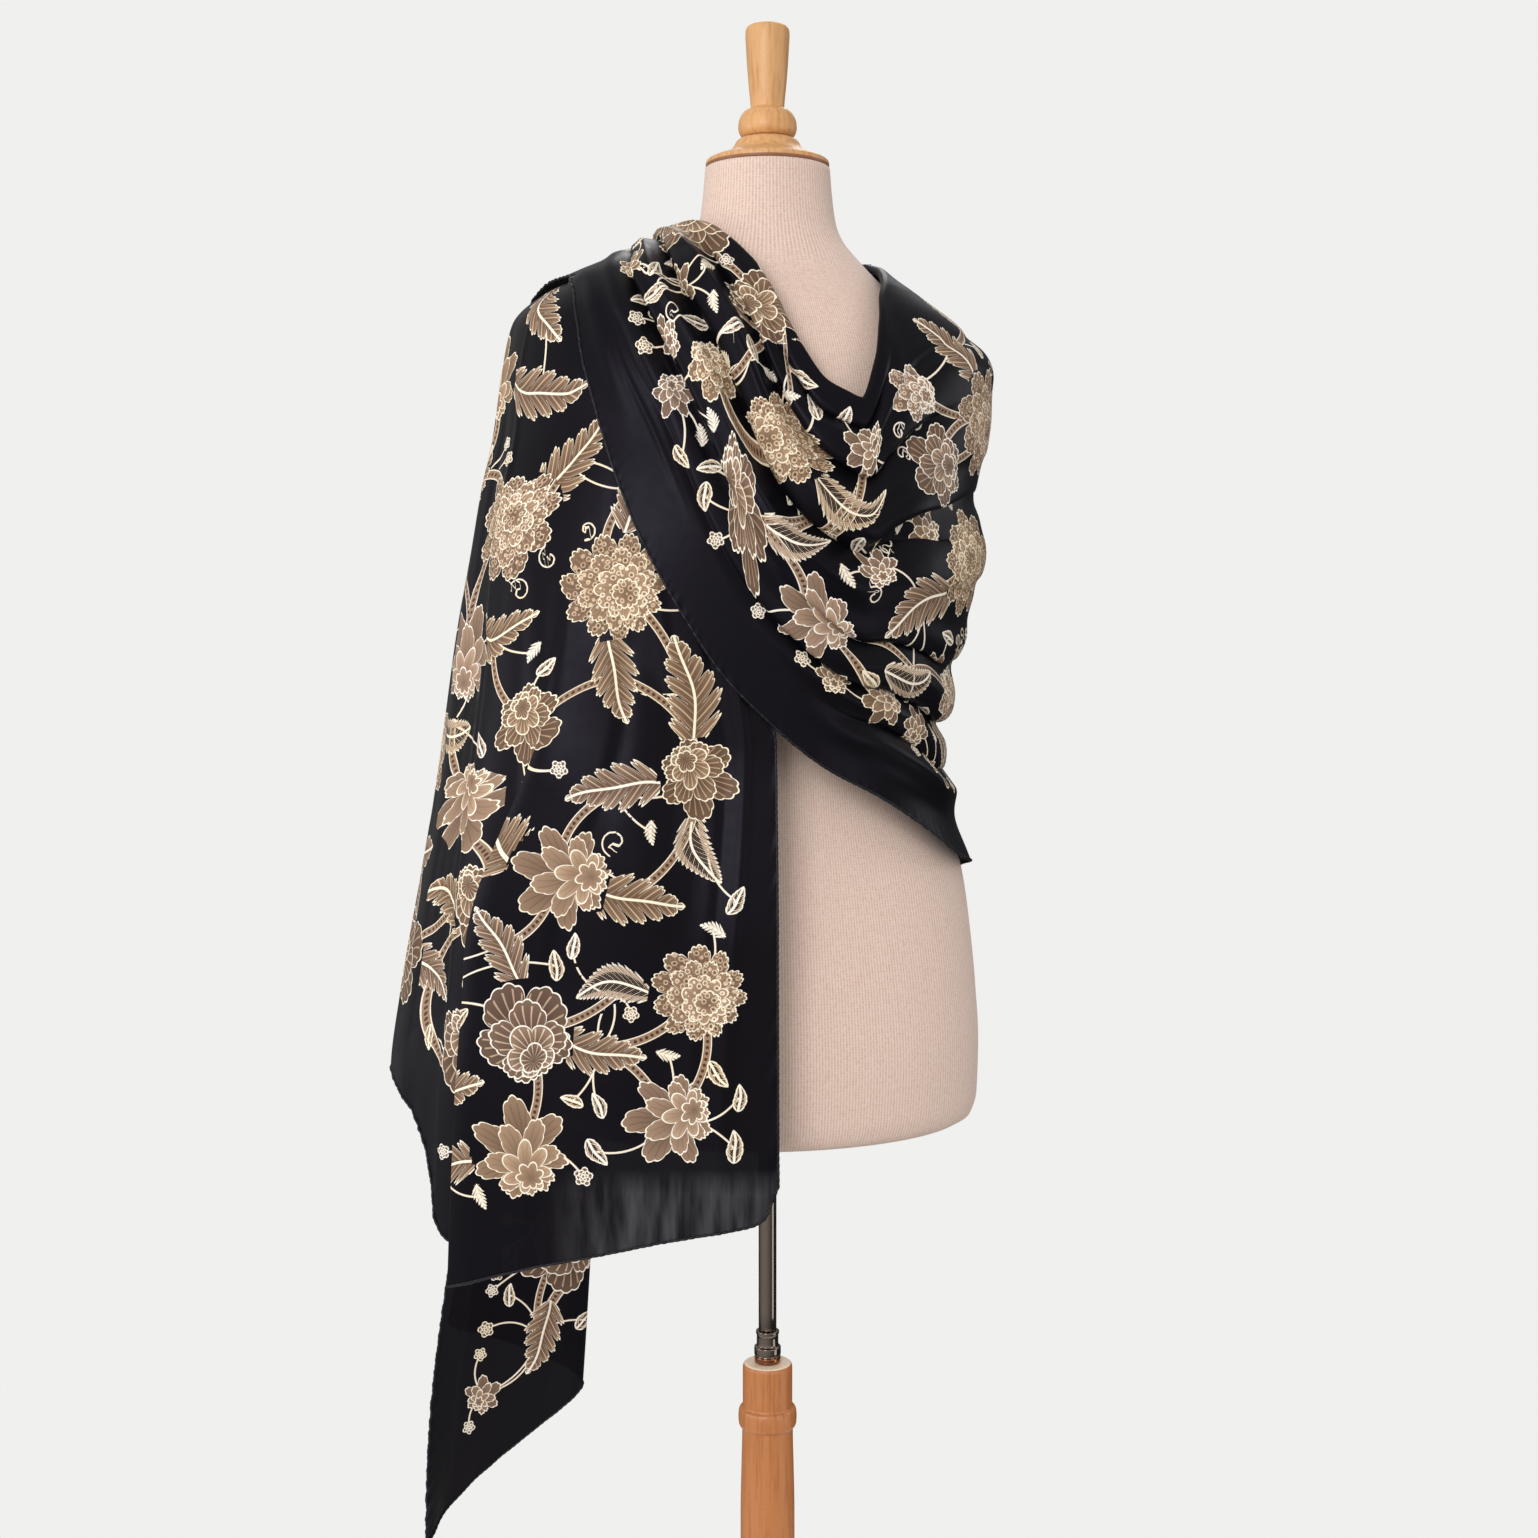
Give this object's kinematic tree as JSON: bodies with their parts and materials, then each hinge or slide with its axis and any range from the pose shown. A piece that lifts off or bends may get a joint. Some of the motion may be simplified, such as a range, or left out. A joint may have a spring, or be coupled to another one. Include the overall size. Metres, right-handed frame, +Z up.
{
  "type": "silk shawl draped on a limbless dress form with its stand",
  "caption": "Floral silk shawl wound once round a limbless dress form on a turned wooden stand, one end hanging in front and the other behind.",
  "frame": {"origin": "centre of the base's underside, on the floor", "axes": "+Z up along the stand, from the base to the finial; -Y towards the front of the form; +X towards the viewer's right"},
  "size_m": [0.4778, 0.3561, 1.554],
  "materials": {
    "silk_satin": "black silk satin with a printed floral pattern",
    "cotton_jersey": "matte ribbed cream jersey",
    "lacquered_beech": "clear lacquered",
    "stained_beech": "stained and lacquered",
    "chromed_steel": "polished"
  },
  "bodies": {
    "root": {"shawl_front_end": "silk_satin", "shawl_back": "silk_satin", "shawl_front_wrap": "silk_satin", "shawl_back_end": "silk_satin", "form_body": "cotton_jersey", "neck_cap": "lacquered_beech", "neck_finial": "lacquered_beech", "stand_tube": "chromed_steel", "tube_collar": "chromed_steel", "stand_post": "stained_beech", "stand_base": "stained_beech"}
  },
  "joints": []
}
